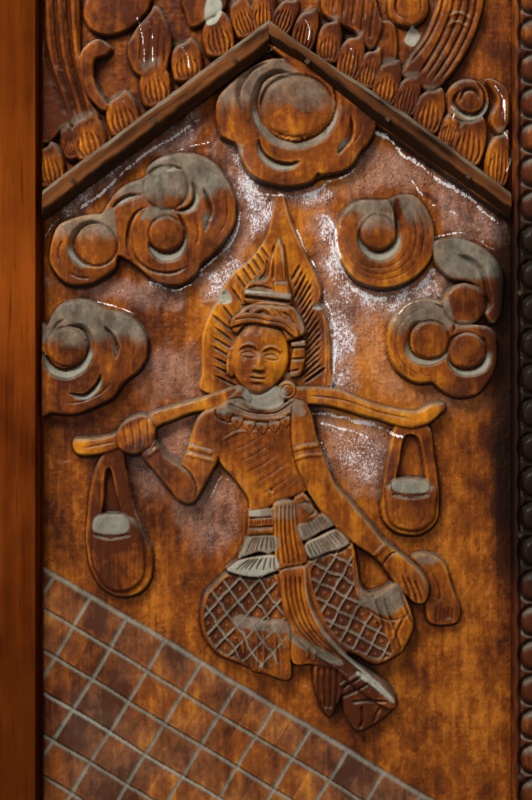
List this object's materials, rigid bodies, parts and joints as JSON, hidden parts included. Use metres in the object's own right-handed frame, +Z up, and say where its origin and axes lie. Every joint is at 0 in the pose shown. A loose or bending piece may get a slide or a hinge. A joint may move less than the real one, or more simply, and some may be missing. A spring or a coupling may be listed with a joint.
{
  "type": "carved temple door with frame",
  "caption": "Single-leaf carved teak door in a pegged frame: figure with shoulder pole, clouds, gable battens and tile roof in relief, beaded strip, pivot pins and wooden draw bolt.",
  "frame": {"origin": "centre of the sill's underside", "axes": "+X to the right of someone facing the carving, +Y into the building (the way the leaf opens), +Z up"},
  "size_m": [0.94, 0.1695, 1.916],
  "materials": {
    "carved_teak": "old lacquered teak, worn orange on the high places and dark in the hollows",
    "frame_teak": "oiled straight-grained teak",
    "bolt_wood": "dark hand-worn hardwood",
    "peg_wood": "end-grain hardwood pegs",
    "dark_iron": "dark forged iron"
  },
  "bodies": {
    "frame": {"jamb_left": "frame_teak", "jamb_right": "frame_teak", "head": "frame_teak", "sill": "frame_teak", "frame_pegs": "peg_wood", "top_stop": "frame_teak", "bottom_stop": "frame_teak", "top_pivot_socket": "dark_iron", "bottom_pivot_socket": "dark_iron", "bolt_receiver": "frame_teak", "receiver_pegs": "peg_wood"},
    "leaf": {"carved_leaf": "carved_teak", "beaded_astragal": "carved_teak", "gable_batten_left": "carved_teak", "gable_batten_right": "carved_teak", "batten_nails": "dark_iron", "astragal_nails": "dark_iron", "ledge_top": "carved_teak", "ledge_middle": "carved_teak", "ledge_bottom": "carved_teak", "ledge_pegs": "peg_wood", "top_pivot_pin": "dark_iron", "bottom_pivot_pin": "dark_iron", "bolt_keeper_inner": "carved_teak", "bolt_keeper_outer": "carved_teak", "keeper_pegs": "peg_wood"},
    "bolt": {"draw_bolt": "bolt_wood", "bolt_knob": "bolt_wood"}
  },
  "joints": [
    {"name": "leaf_hinge", "type": "hinge", "parent": "frame", "child": "leaf", "pos_m": [-0.294, 0.008, 0.948], "axis": [0, 0, 1], "range_deg": [0, 95]},
    {"name": "bolt_slide", "type": "slide", "parent": "leaf", "child": "bolt", "axis": [1, 0, 0], "range_m": [0, 0.07]}
  ]
}
